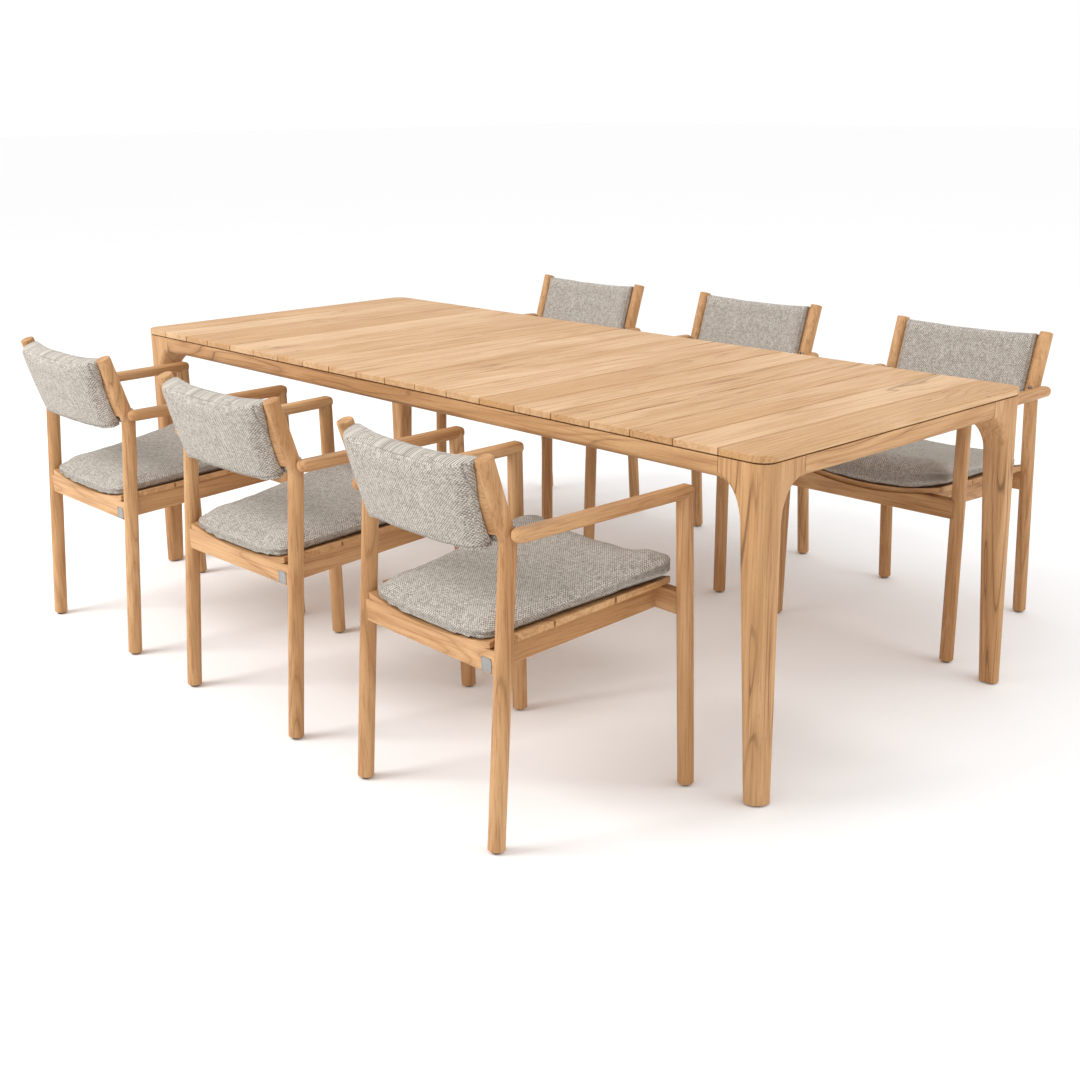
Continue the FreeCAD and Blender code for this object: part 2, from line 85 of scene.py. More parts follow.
# seat cushion
CORNER_ROUND = 60 * MM          # plan radius of its corners
REAR_STRIP = 40 * MM            # depth of the strip that gives its rear width
CROWN_REACH = 95 * MM           # from the rim to where it is at its full thickness
REAR_RIM_SHARE = 0.75           # the rear rim against the front one
SIDE_LIFT_START, SIDE_LIFT_END = 110 * MM, 225 * MM
SIDE_LIFT_REAR, SIDE_LIFT_GROWTH = 3 * MM, 8 * MM
FRONT_LIFT = 4 * MM
CROWN_REAR, CROWN_GROWTH = 4 * MM, 23 * MM
LEVELLING_REAR, LEVELLING_GROWTH = 0.62, 0.15    # share of the seat's dish that the filling takes up
SEAT_CLEARANCE = 0.2 * MM
RIPPLE_HEIGHT = 0.9 * MM
RIPPLE_SCALE = 22.0
SEAM_DEPTH = 1.6 * MM

# back sleeve
SLEEVE_CELL = 0.85              # its cell against the seat cushion's
LINING_REACH, FREE_REACH = 4 * MM, 15 * MM       # from the panel: held still, free to swell
BELLY = 5 * MM
LEAN = 5 * MM
ROLLED_EDGE = 11 * MM
ROLL_START = 0.84
SOFTENING_ROUNDS = 4
HEM_HEIGHT, SIDE_SEAM_INSET, SEAM_REACH = 12 * MM, 8 * MM, 3.5 * MM
SIDE_SEAM_SHARE = 0.8


# ---------------------------------------------------------------- places taken from the frame

def node_points(name):
    """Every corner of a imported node's mesh."""
    return [v.co for v in frame["nodes"][name].data.vertices]


def chair_turn(number):
    """How far a chair is turned about the upright axis, from the way that it slides out."""
    for joint in frame["joints"]:
        if joint["name"] == f"chair_{number}_pull_out":
            x, y = joint["axis"][0], joint["axis"][1]
            return math.atan2(-y, -x) - math.pi / 2
    raise RuntimeError(f"chair {number} has no sliding joint")


def chair_place(number):
    """Moves a shape from a chair's own axes (x sideways, y towards the table, z up) to its place."""
    turn = Matrix.Rotation(chair_turn(number), 4, "Z")
    legs = [turn.inverted() @ p for p in node_points(f"chair_{number}_legs")]
    floor_level = min(p.z for p in legs)
    feet = [p for p in legs if p.z < floor_level + 2 * MM]
    middle = (min(p.x for p in feet) + max(p.x for p in feet)) / 2
    half_way = (min(p.y for p in feet) + max(p.y for p in feet)) / 2
    rear = [p.y for p in feet if p.y < half_way]
    return turn @ Matrix.Translation((middle, (min(rear) + max(rear)) / 2, 0))


# ---------------------------------------------------------------- settings

class StudioSettings(bpy.types.PropertyGroup):
    """Light, floor and camera."""
    key_power: bpy.props.FloatProperty(
        name="Key light", description="Power of the large lamp at the upper left", default=220.0)
    fill_power: bpy.props.FloatProperty(
        name="Fill light", description="Power of the lamp behind the table", default=40.0)
    sky_strength: bpy.props.FloatProperty(
        name="Sky", description="Strength of the even light from all round", default=1.02)
    floor_colour: bpy.props.FloatVectorProperty(
        name="Floor", description="Colour of the floor", subtype="COLOR", default=(0.97, 0.97, 0.97))


class TeakSettings(bpy.types.PropertyGroup):
    """Colours of the teak."""
    top_pale: bpy.props.FloatVectorProperty(
        name="Top, pale", description="Palest wood of the table top", subtype="COLOR",
        default=(0.66, 0.44, 0.25))
    top_deep: bpy.props.FloatVectorProperty(
        name="Top, deep", description="Deepest plain wood of the table top", subtype="COLOR",
        default=(0.53, 0.305, 0.135))
    frame_pale: bpy.props.FloatVectorProperty(
        name="Frame, pale", description="Palest wood of the frames", subtype="COLOR",
        default=(0.60, 0.355, 0.17))
    frame_deep: bpy.props.FloatVectorProperty(
        name="Frame, deep", description="Deepest plain wood of the frames", subtype="COLOR",
        default=(0.42, 0.215, 0.085))
    # also the colour of the painted shade line at the joints of the rails and legs
    streak: bpy.props.FloatVectorProperty(
        name="Streak", description="Colour of the dark growth lines", subtype="COLOR",
        default=(0.16, 0.075, 0.03))


class FabricSettings(bpy.types.PropertyGroup):
    """The woven cover of the cushions."""
    pale_yarn: bpy.props.FloatVectorProperty(
        name="Pale yarn", description="Colour of the palest yarn", subtype="COLOR",
        default=(0.70, 0.65, 0.585))
    dark_yarn: bpy.props.FloatVectorProperty(
        name="Dark yarn", description="Colour of the darkest yarn", subtype="COLOR",
        default=(0.215, 0.178, 0.142))
    yarn_pitch: bpy.props.FloatProperty(
        name="Yarn pitch", description="Distance from one yarn to the next", unit="LENGTH",
        default=3.1 * MM)


class CushionSettings(bpy.types.PropertyGroup):
    """Shape of the padded pieces."""
    grid: bpy.props.FloatProperty(
        name="Grid", description="Edge of one cell of the cushion's mesh", unit="LENGTH",
        default=6 * MM)
    pressure: bpy.props.FloatProperty(
        name="Pressure", description="How hard the filling pushes the cover out", default=4.0)
    edge_thickness: bpy.props.FloatProperty(
        name="Edge thickness", description="Share of the full thickness left at the seam",
        subtype="FACTOR", default=0.72)
    seat_swell: bpy.props.FloatProperty(
        name="Seat swell", description="The furthest that a point of a seat cushion may move",
        unit="LENGTH", default=9 * MM)
    back_swell: bpy.props.FloatProperty(
        name="Back swell", description="The furthest that a point of a back sleeve may move",
        unit="LENGTH", default=6 * MM)
    hem_shift: bpy.props.FloatProperty(
        name="Hem shift", description="How far the back of a sleeve is pulled in at one side",
        unit="LENGTH", default=16 * MM)
    bow_radius: bpy.props.FloatProperty(
        name="Bow radius", description="Radius of the backrest's curve", unit="LENGTH",
        default=829 * MM)


# ---------------------------------------------------------------- node helpers

def add_node(tree, kind, inputs=None, **settings):
    """Adds one shader node. An input is a number, a colour or another node's output."""
    node = tree.nodes.new(kind)
    for key, value in settings.items():
        setattr(node, key, value)
    for key, value in (inputs or {}).items():
        if isinstance(value, bpy.types.NodeSocket):
            tree.links.new(value, node.inputs[key])
        else:
            node.inputs[key].default_value = value
    return node


def calculate(tree, operation, first, second=0.0):
    """One sum of two numbers, each a value or an output."""
    return add_node(tree, "ShaderNodeMath", {0: first, 1: second}, operation=operation).outputs[0]


def blend_colours(tree, share, first, second, way="MIX"):
    """Goes from the first colour to the second as share goes from 0 to 1."""
    node = add_node(tree, "ShaderNodeMix", {0: share}, data_type="RGBA", blend_type=way)
    for socket, value in ((node.inputs[6], first), (node.inputs[7], second)):
        if isinstance(value, bpy.types.NodeSocket):
            tree.links.new(value, socket)
        else:
            socket.default_value = value
    return node.outputs[2]


def spread(tree, value, low, high):
    """Stretches the part of a value between low and high to 0..1, smoothly."""
    node = add_node(tree, "ShaderNodeMapRange", {"Value": value, "From Min": low, "From Max": high},
                    interpolation_type="SMOOTHSTEP")
    return node.outputs["Result"]


def noise_of(tree, vector, scale, detail=2.0, roughness=0.5, distortion=0.0):
    """A soft random value that changes along the vector."""
    node = add_node(tree, "ShaderNodeTexNoise", {
        "Vector": vector, "Scale": scale, "Detail": detail,
        "Roughness": roughness, "Distortion": distortion})
    return node.outputs["Fac"]


def new_material(name):
    """An empty node material and its shader."""
    material = bpy.data.materials.new(name)
    material.use_nodes = True
    tree = material.node_tree
    return material, tree, tree.nodes["Principled BSDF"]


def four(colour):
    """A colour with its alpha."""
    return (colour[0], colour[1], colour[2], 1.0)


def add_bump(tree, shader, height, distance, strength=1.0):
    """Raises the surface by a height between 0 and 1."""
    bump = add_node(tree, "ShaderNodeBump",
                    {"Height": height, "Distance": distance, "Strength": strength})
    tree.links.new(bump.outputs["Normal"], shader.inputs["Normal"])


# ---------------------------------------------------------------- teak

def board_shift(tree, coordinates, pitch, start):
    """Moves the pattern by another amount on each board, so no two boards match."""
    split = add_node(tree, "ShaderNodeSeparateXYZ", {0: coordinates})
    along = calculate(tree, "SUBTRACT", split.outputs["X"], start)
    index = calculate(tree, "FLOOR", calculate(tree, "DIVIDE", along, pitch))
    random = add_node(tree, "ShaderNodeTexWhiteNoise", {"W": index}, noise_dimensions="1D")
    shift = add_node(tree, "ShaderNodeVectorMath", {0: random.outputs["Color"], 1: (7.0, 7.0, 7.0)},
                     operation="MULTIPLY")
    moved = add_node(tree, "ShaderNodeVectorMath", {0: coordinates, 1: shift.outputs[0]},
                     operation="ADD")
    return moved.outputs[0], random.outputs["Value"]


def grain_first(tree, coordinates, axis):
    """Swaps the axes so that the grain always runs along the first one."""
    split = add_node(tree, "ShaderNodeSeparateXYZ", {0: coordinates})
    order = [axis] + [other for other in "XYZ" if other != axis]
    inputs = {slot: split.outputs[source] for slot, source in zip("XYZ", order)}
    return add_node(tree, "ShaderNodeCombineXYZ", inputs).outputs[0]


def grain_by_face(tree, coordinates):
    """Grain along Y on faces that look along X, and along X on the rest, for a frame of rails."""
    normal = add_node(tree, "ShaderNodeNewGeometry").outputs["Normal"]
    split = add_node(tree, "ShaderNodeSeparateXYZ", {0: normal})
    sizes = [calculate(tree, "ABSOLUTE", split.outputs[axis]) for axis in "XY"]
    sideways = calculate(tree, "GREATER_THAN", *sizes)
    choice = add_node(tree, "ShaderNodeMix", {
        0: sideways, 4: grain_first(tree, coordinates, "X"), 5: grain_first(tree, coordinates, "Y"),
    }, data_type="VECTOR")
    return choice.outputs[1]


def stretched(tree, coordinates, along, across):
    """Coordinates scaled so that a pattern is long along the grain and narrow across it."""
    scale = (along, across, across)
    return add_node(tree, "ShaderNodeMapping", {"Vector": coordinates, "Scale": scale}).outputs[0]


def painted_joint_shade(tree, coordinates, axis, end):
    """1 in a hair's breadth at both ends of a rail, where it meets the legs: the mask of the painted
    shade of the hairline gap there.
    """
    split = add_node(tree, "ShaderNodeSeparateXYZ", {0: coordinates})
    from_end = calculate(tree, "SUBTRACT", end, calculate(tree, "ABSOLUTE", split.outputs[axis]))
    return spread(tree, from_end, 2.2 * MM, 1.2 * MM)


def teak(name, axis, pale, deep, streak, board=None, line_strength=FRAME_LINES, joint=None):
    """Oiled teak whose grain runs along one axis, or by face where axis is None.
    board gives the pitch and start of boards laid side by side.
    joint gives the axis and the distance from the middle at which a rail ends, where a painted shade line
    darkens the gap to the legs."""
    material, tree, shader = new_material(name)
    coordinates = add_node(tree, "ShaderNodeTexCoord").outputs["Object"]
    board_tone = None
    if board:
        coordinates, board_tone = board_shift(tree, coordinates, *board)
    if axis:
        grain = grain_first(tree, coordinates, axis)
    else:
        grain = grain_by_face(tree, coordinates)
    # a slow drift of tone, the growth rings, the fibres and the pores
    broad = noise_of(tree, stretched(tree, grain, 1.1, 6.0), 1.0, 2.0, 0.5, 0.4)
    figure = noise_of(tree, stretched(tree, grain, 1.1, 12.0), 1.0, 2.0, 0.4, 0.7)
    fine = noise_of(tree, stretched(tree, grain, 5.0, 240.0), 1.0, 3.0, 0.6)
    pores = noise_of(tree, stretched(tree, grain, 55.0, 1100.0), 1.0, 1.0)

    rings = calculate(tree, "PINGPONG", calculate(tree, "MULTIPLY", figure, 9.0), 0.5)
    line = spread(tree, rings, 0.09, 0.0)
    patch = spread(tree, noise_of(tree, stretched(tree, grain, 1.7, 5.0), 1.0), 0.46, 0.62)
    line = calculate(tree, "MULTIPLY", line, calculate(tree, "MULTIPLY", patch, line_strength))
    soft_line = calculate(tree, "MULTIPLY", spread(tree, rings, 0.5, 0.0), 0.42)

    tone = calculate(tree, "ADD", spread(tree, broad, 0.3, 0.75), soft_line)
    if board_tone:
        tone = calculate(tree, "ADD", tone, calculate(tree, "MULTIPLY", board_tone, 0.8))
        tone = calculate(tree, "SUBTRACT", tone, 0.45)
    tone = add_node(tree, "ShaderNodeClamp", {"Value": tone}).outputs[0]
    colour = blend_colours(tree, tone, four(pale), four(deep))
    fibre = calculate(tree, "MULTIPLY", spread(tree, fine, 0.42, 0.78), 0.55)
    colour = blend_colours(tree, fibre, colour, four(deep), "MULTIPLY")
    colour = blend_colours(tree, line, colour, four(streak))
    speck = calculate(tree, "MULTIPLY", spread(tree, pores, 0.63, 0.78), 0.42)
    colour = blend_colours(tree, speck, colour, four(streak))
    # painted shade: a dark line in the streak colour at each rail end stands for the shade in the
    # hairline gap to the legs
    if joint:
        colour = blend_colours(tree, painted_joint_shade(tree, coordinates, *joint), colour, four(streak))
    tree.links.new(colour, shader.inputs["Base Color"])

    gloss = add_node(tree, "ShaderNodeMapRange", {"Value": fine, "To Min": 0.45, "To Max": 0.62})
    tree.links.new(gloss.outputs["Result"], shader.inputs["Roughness"])
    shader.inputs["Specular IOR Level"].default_value = 0.3
    height = calculate(tree, "SUBTRACT", calculate(tree, "MULTIPLY", fine, 0.7), speck)
    add_bump(tree, shader, height, 0.3 * MM, 0.6)
    return material


def give_finish(names, material):
    """Puts a material on CAD nodes, which keep their shape."""
    for name in names:
        for slot in frame["nodes"][name].material_slots:
            slot.material = material


# ---------------------------------------------------------------- fabric, metal, plastic

def woven_fabric(settings):
    """Basket weave of mixed pale and dark yarns, with painted shade in the gaps between the yarns and
    along the seams. It reads the piece's own cloth map, in metres.
    """
    material, tree, shader = new_material("woven_cover")
    place = add_node(tree, "ShaderNodeUVMap", uv_map=CLOTH_UV).outputs[0]
    split = add_node(tree, "ShaderNodeSeparateXYZ", {0: place})
    across = calculate(tree, "DIVIDE", split.outputs["X"], settings.yarn_pitch)
    along = calculate(tree, "DIVIDE", split.outputs["Y"], settings.yarn_pitch)
    warp, weft = calculate(tree, "FLOOR", across), calculate(tree, "FLOOR", along)
    positive = calculate(tree, "ADD", warp, calculate(tree, "ADD", weft, WEAVE_OFFSET))
    parity = calculate(tree, "MODULO", positive, 2.0)

    def hump(value):
        """1 in the middle of a yarn and 0 at its edge."""
        middle = calculate(tree, "SUBTRACT", calculate(tree, "FRACT", value), 0.5)
        return calculate(tree, "COSINE", calculate(tree, "MULTIPLY", middle, math.pi))

    round_yarn = calculate(tree, "MULTIPLY",
                           calculate(tree, "POWER", hump(across), 0.7),
                           calculate(tree, "POWER", hump(along), 0.7))

    def yarn_colour(index, travel, seed):
        """A random tone for each stretch of a yarn."""
        stretch = calculate(tree, "FLOOR", calculate(tree, "MULTIPLY", travel, 0.37))
        spot = add_node(tree, "ShaderNodeCombineXYZ", {"X": index, "Y": stretch, "Z": seed})
        random = add_node(tree, "ShaderNodeTexWhiteNoise", {"Vector": spot.outputs[0]},
                          noise_dimensions="3D")
        return random.outputs["Value"]

    tone_warp = yarn_colour(warp, along, 1.0)
    tone_weft = yarn_colour(weft, across, 2.0)
    tone = add_node(tree, "ShaderNodeMix", {0: parity, 2: tone_warp, 3: tone_weft}).outputs[0]
    fuzz = noise_of(tree, place, 1900.0, 3.0, 0.7)
    tone = calculate(tree, "ADD", calculate(tree, "MULTIPLY", tone, 0.38),
                     calculate(tree, "MULTIPLY", fuzz, 0.3))
    tone = calculate(tree, "ADD", tone, calculate(tree, "MULTIPLY", parity, 0.32))
    colour = blend_colours(tree, spread(tree, tone, 0.12, 0.88), four(settings.dark_yarn),
                           four(settings.pale_yarn))
    # painted shade: the colour darkens in the hollows between the round yarns
    yarn_gap_shade = calculate(tree, "MULTIPLY", spread(tree, round_yarn, 0.4, 0.05), 0.45)
    colour = blend_colours(tree, yarn_gap_shade, colour, four([c * 0.35 for c in settings.dark_yarn]))
    # painted shade: the cover darkens along the sewn-in seam, standing for the shade in its crease
    seam = add_node(tree, "ShaderNodeAttribute", attribute_name=SEAM).outputs["Fac"]
    colour = blend_colours(tree, calculate(tree, "MULTIPLY", seam, 0.5), colour,
                           four([c * 0.5 for c in settings.dark_yarn]))
    tree.links.new(colour, shader.inputs["Base Color"])
    shader.inputs["Roughness"].default_value = 0.92
    shader.inputs["Specular IOR Level"].default_value = 0.15
    shader.inputs["Sheen Weight"].default_value = 0.12
    shader.inputs["Sheen Roughness"].default_value = 0.5
    height = calculate(tree, "ADD", round_yarn, calculate(tree, "MULTIPLY", fuzz, 0.35))
    add_bump(tree, shader, height, 1.1 * MM, 0.8)
    return material


def brushed_steel():
    """Fine brushed steel with a few smudges."""
    material, tree, shader = new_material("brushed_steel")
    coordinates = add_node(tree, "ShaderNodeTexCoord").outputs["Object"]
    brush = noise_of(tree, stretched(tree, coordinates, 40.0, 2500.0), 1.0, 2.0)
    smudge = noise_of(tree, coordinates, 60.0, 3.0)
    colour = blend_colours(tree, smudge, (0.27, 0.265, 0.255, 1), (0.38, 0.375, 0.365, 1))
    tree.links.new(colour, shader.inputs["Base Color"])
    shader.inputs["Metallic"].default_value = 1.0
    rough = add_node(tree, "ShaderNodeMapRange", {"Value": brush, "To Min": 0.24, "To Max": 0.48})
    tree.links.new(rough.outputs["Result"], shader.inputs["Roughness"])
    add_bump(tree, shader, brush, 0.08 * MM, 0.6)
    return material


def moulded_plastic():
    """Dark moulded plastic with a fine spark texture and scuffs."""
    material, tree, shader = new_material("moulded_plastic")
    coordinates = add_node(tree, "ShaderNodeTexCoord").outputs["Object"]
    spark = noise_of(tree, coordinates, 1400.0, 2.0, 0.6)
    scuff = noise_of(tree, coordinates, 90.0, 4.0, 0.7)
    colour = blend_colours(tree, spread(tree, scuff, 0.45, 0.8), (0.022, 0.019, 0.017, 1),
                           (0.06, 0.054, 0.048, 1))
    tree.links.new(colour, shader.inputs["Base Color"])
    rough = add_node(tree, "ShaderNodeMapRange", {"Value": scuff, "To Min": 0.42, "To Max": 0.68})
    tree.links.new(rough.outputs["Result"], shader.inputs["Roughness"])
    add_bump(tree, shader, spark, 0.12 * MM, 0.5)
    return material


# ---------------------------------------------------------------- mesh helpers

def deselect_all():
    """Leaves nothing selected."""
    if bpy.context.object and bpy.context.object.mode != "OBJECT":
        bpy.ops.object.mode_set(mode="OBJECT")
    bpy.ops.object.select_all(action="DESELECT")


def make_active(piece):
    """Selects one piece alone."""
    deselect_all()
    piece.select_set(True)
    bpy.context.view_layer.objects.active = piece


def select_edges(piece, wanted):
    """In edit mode, selects the edges whose two ends satisfy a test."""
    bpy.ops.mesh.select_mode(type="EDGE")
    bpy.ops.mesh.select_all(action="DESELECT")
    bpy.ops.object.mode_set(mode="OBJECT")
    points = piece.data.vertices
    for edge in piece.data.edges:
        edge.select = wanted(points[edge.vertices[0]].co, points[edge.vertices[1]].co)
    bpy.ops.object.mode_set(mode="EDIT")


def settle(piece):
    """Puts a piece's place into its mesh."""
    make_active(piece)
    bpy.ops.object.transform_apply(location=True, rotation=True, scale=True)


def disc(name, radius, height, centre, round_edge, sides=40):
    """A round puck with softened rims, made in edit mode."""
    deselect_all()
    bpy.ops.mesh.primitive_cylinder_add(
        vertices=sides, radius=radius, depth=height, location=centre)
    piece = bpy.context.object
    piece.name = name
    settle(piece)
    bpy.ops.object.mode_set(mode="EDIT")
    select_edges(piece, lambda a, b: abs(a.z - b.z) < 1e-6)
    bpy.ops.mesh.bevel(offset=round_edge, segments=3, affect="EDGES")
    bpy.ops.object.mode_set(mode="OBJECT")
    bpy.ops.object.shade_smooth_by_angle(angle=math.radians(40))
    return piece


def join(name, pieces):
    """Joins pieces into one object."""
    deselect_all()
    for piece in pieces:
        piece.select_set(True)
    bpy.context.view_layer.objects.active = pieces[0]
    bpy.ops.object.join()
    pieces[0].name = name
    return pieces[0]


def place_copy(original, name, matrix, body, material, slot, *nodes):
    """A copy of a piece with its own mesh, put in its place, riding on a body."""
    piece = original.copy()
    piece.data = original.data.copy()
    piece.name = name
    bpy.context.scene.collection.objects.link(piece)
    piece.data.transform(matrix)
    piece.data.materials.clear()
    piece.data.materials.append(material)
    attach(piece, body)
    if nodes:
        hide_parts(*nodes)
    return piece


def drop(piece):
    """Removes a working object."""
    bpy.data.objects.remove(piece, do_unlink=True)


def copy_of_node(name, matrix):
    """A closed copy of a CAD node's mesh, moved by a matrix."""
    source = frame["nodes"][name]
    piece = bpy.data.objects.new(name + "_copy", source.data.copy())
    bpy.context.scene.collection.objects.link(piece)
    piece.data.transform(matrix)
    make_active(piece)
    bpy.ops.object.mode_set(mode="EDIT")
    bpy.ops.mesh.select_all(action="SELECT")
    bpy.ops.mesh.remove_doubles(threshold=0.02 * MM)
    bpy.ops.mesh.normals_make_consistent(inside=False)
    bpy.ops.object.mode_set(mode="OBJECT")
    return piece


def search_tree(piece):
    """A tree that finds the nearest point and what a ray meets."""
    mesh = piece.data
    return BVHTree.FromPolygons([v.co for v in mesh.vertices], [p.vertices for p in mesh.polygons])


def point_normals(piece):
    """The normal at every point, read before any point moves."""
    return [v.normal.copy() for v in piece.data.vertices]


def smooth_between(value, low, high):
    """0 below low, 1 above high and a smooth rise between."""
    share = min(max((value - low) / (high - low), 0.0), 1.0)
    return share * share * (3 - 2 * share)


def voxel_copy(piece, grid):
    """Rebuilds a closed shape as an even net of squares."""
    make_active(piece)
    piece.data.remesh_voxel_size = grid
    bpy.ops.object.voxel_remesh()


def inflate(piece, pressure, frames=20):
    """Blows a cover up as its filling does, and keeps the result as the mesh."""
    make_active(piece)
    cloth = piece.modifiers.new("filling", "CLOTH")
    cloth.settings.use_pressure = True
    cloth.settings.uniform_pressure_force = pressure
    cloth.settings.effector_weights.gravity = 0.0
    cloth.settings.quality = 5
    cloth.point_cache.frame_end = frames
    for number in range(1, frames + 1):
        bpy.context.scene.frame_set(number)
    bpy.ops.object.modifier_apply(modifier=cloth.name)
    bpy.context.scene.frame_set(1)


def subdivide_smooth(piece):
    """One level of subdivision, applied."""
    make_active(piece)
    smoother = piece.modifiers.new("smooth", "SUBSURF")
    smoother.levels = smoother.render_levels = 1
    bpy.ops.object.modifier_apply(modifier=smoother.name)
    bpy.ops.object.shade_smooth()


def soften(piece, weights, rounds):
    """Smooths the points of a piece in proportion to their weights."""
    group = piece.vertex_groups.new(name="soft")
    for index, weight in enumerate(weights):
        group.add([index], weight, "REPLACE")
    make_active(piece)
    smoother = piece.modifiers.new("soften", "SMOOTH")
    smoother.factor = 0.5
    smoother.iterations = rounds
    smoother.vertex_group = group.name
    bpy.ops.object.modifier_apply(modifier=smoother.name)
    piece.vertex_groups.clear()


def cap_moves(piece, before, limit):
    """Holds every point within its own limit of where it was."""
    for vertex, start in zip(piece.data.vertices, before):
        move = vertex.co - start
        most = limit(start)
        if move.length > most:
            vertex.co = start + move * (most / move.length if move.length else 0)


def write_cloth_map(piece, place):
    """Gives every face corner its place on the cloth, in metres, from its point and face normal."""
    mesh = piece.data
    layer = mesh.uv_layers.new(name=CLOTH_UV)
    for face in mesh.polygons:
        for corner in face.loop_indices:
            point = mesh.vertices[mesh.loops[corner].vertex_index].co
            layer.data[corner].uv = place(point, face.normal)


def write_seam(piece, strength):
    """Stores how near each point is to a sewn seam, from 0 to 1; the cover's material paints the seam
    crease's shade from it.
    """
    layer = piece.data.attributes.new(SEAM, "FLOAT", "POINT")
    for vertex, value in zip(piece.data.vertices, strength):
        layer.data[vertex.index].value = value


# ---------------------------------------------------------------- seat cushion

def seat_outline(points):
    """How far inside its own rim a point of the seat cushion lies."""
    front, rear = max(p.y for p in points), min(p.y for p in points)
    wide = max(p.x for p in points)
    narrow = max(p.x for p in points if p.y < rear + REAR_STRIP)

    def inside(point):
        share = (point.y - rear) / (front - rear)
        half = narrow + (wide - narrow) * share
        gaps = (half - abs(point.x), point.y - rear, front - point.y)
        near = sorted(max(g, 0.0) for g in gaps)
        if near[1] < CORNER_ROUND:
            return max(CORNER_ROUND - math.hypot(CORNER_ROUND - near[0], CORNER_ROUND - near[1]), 0.0)
        return near[0]
    return inside


def seat_levels(solid):
    """A function that gives the lower and upper face of the plain cushion at a point."""
    down, up = Vector((0, 0, -1)), Vector((0, 0, 1))

    def levels(point):
        low = solid.ray_cast(Vector((point.x, point.y, 0)), up)[0]
        high = solid.ray_cast(Vector((point.x, point.y, 1)), down)[0]
        if low is None or high is None:
            return point.z, point.z
        return low.z, high.z
    return levels


def seat_section(point, low, high, levels, length, from_rim, edge_thickness):
    """The underside and the thickness of the crowned cushion at a point."""
    middle = Vector((0, min(max(point.y, 20 * MM), length - 10 * MM), 0))
    dish = max(low - levels(middle)[0], 0.0)
    forward = point.y / length
    side = smooth_between(abs(point.x), SIDE_LIFT_START, SIDE_LIFT_END)
    bottom = low + side * (SIDE_LIFT_REAR + SIDE_LIFT_GROWTH * forward)
    bottom += FRONT_LIFT * smooth_between(forward, 0.6, 1)
    crown = CROWN_REAR + CROWN_GROWTH * forward ** 2
    full = high - low + crown - (LEVELLING_REAR + LEVELLING_GROWTH * forward) * dish
    rim = edge_thickness * (REAR_RIM_SHARE + (1 - REAR_RIM_SHARE) * forward) * full
    thick = rim + (full - rim) * smooth_between(from_rim, -8 * MM, CROWN_REACH)
    return bottom, thick


def crown_cushion(cushion, levels, inside, edge_thickness):
    """Moves every point from the plain solid to the crowned form. Gives the seat's level under each."""
    floor_at = []
    length = max(v.co.y for v in cushion.data.vertices)
    for vertex in cushion.data.vertices:
        point, from_rim = vertex.co, inside(vertex.co)
        low, high = levels(point * 0.97 if from_rim < 6 * MM else point)
        bottom, thick = seat_section(point, low, high, levels, length, from_rim, edge_thickness)
        share = min(max((point.z - low) / max(high - low, MM), 0.0), 1.0)
        vertex.co.z = bottom + share * thick
        floor_at.append(low)
    return floor_at


def sew_cushion(cushion, inside):
    """Draws the seam in round the rim and lets the cover ripple a little."""
    normals = point_normals(cushion)
    strength = []
    for vertex, normal in zip(cushion.data.vertices, normals):
        upright = 1 - smooth_between(abs(normal.z), 0.05, 0.45)
        at_rim = 1 - smooth_between(inside(vertex.co), 4 * MM, 14 * MM)
        strength.append(upright * at_rim)
    for vertex, normal, near in zip(cushion.data.vertices, normals, strength):
        ripple = noise.noise(vertex.co * RIPPLE_SCALE) * RIPPLE_HEIGHT
        vertex.co -= normal * (near * SEAM_DEPTH)
        vertex.co.z += ripple * smooth_between(normal.z, 0.1, 0.8)
    write_seam(cushion, strength)


def seat_cloth_place(point, normal):
    """Where a point of the seat cushion lies on its cloth."""
    if abs(normal.z) > 0.6:
        return (point.x, point.y)
    if abs(normal.x) > abs(normal.y):
        return (point.y, point.z)
    return (point.x, point.z)


def make_seat_cushion(settings):
    """One seat cushion in a chair's own axes: crowned, thinner at the rim and sewn round it."""
    cushion = copy_of_node("chair_1_seat_cushion", chair_place(1).inverted())
    levels = seat_levels(search_tree(cushion))
    inside = seat_outline([v.co.copy() for v in cushion.data.vertices])
    voxel_copy(cushion, settings.grid)
    floor_at = crown_cushion(cushion, levels, inside, settings.edge_thickness)
    before = [v.co.copy() for v in cushion.data.vertices]
    inflate(cushion, settings.pressure)
    cap_moves(cushion, before, lambda start: settings.seat_swell)
    for vertex, low in zip(cushion.data.vertices, floor_at):
        vertex.co.z = max(vertex.co.z, low + SEAT_CLEARANCE)
    subdivide_smooth(cushion)
    sew_cushion(cushion, inside)
    write_cloth_map(cushion, seat_cloth_place)
    return cushion


# ---------------------------------------------------------------- back sleeve

def post_direction():
    """The way that a back sleeve lifts off, in a chair's own axes."""
    turn = Matrix.Rotation(chair_turn(1), 3, "Z")
    for joint in frame["joints"]:
        if joint["name"] == "chair_1_back_pad_lift":
            return (turn.inverted() @ Vector(joint["axis"])).normalized()
    raise RuntimeError("chair 1 has no joint for its back sleeve")


class SleeveGauge:
    """Measures points of a back sleeve against the panel that it hangs over."""

    def __init__(self, sleeve, panel):
        self.panel = search_tree(panel)
        self.up_post = post_direction()
        self.behind = Vector((0, -self.up_post.z, self.up_post.y))
        heights = [v.co.dot(self.up_post) for v in sleeve.data.vertices]
        self.bottom, self.tall = min(heights), max(heights) - min(heights)
        self.half = max(v.co.x for v in sleeve.data.vertices)

    def rise(self, point):
        """0 at the hem and 1 at the top."""
        return (point.dot(self.up_post) - self.bottom) / self.tall

    def free(self, point):
        """0 against the panel and 1 on the outer faces."""
        return smooth_between(self.panel.find_nearest(point)[3], LINING_REACH, FREE_REACH)

    def is_behind(self, point):
        """Whether a point lies behind the panel."""
        return (point - self.panel.find_nearest(point)[0]).dot(self.behind) > 0


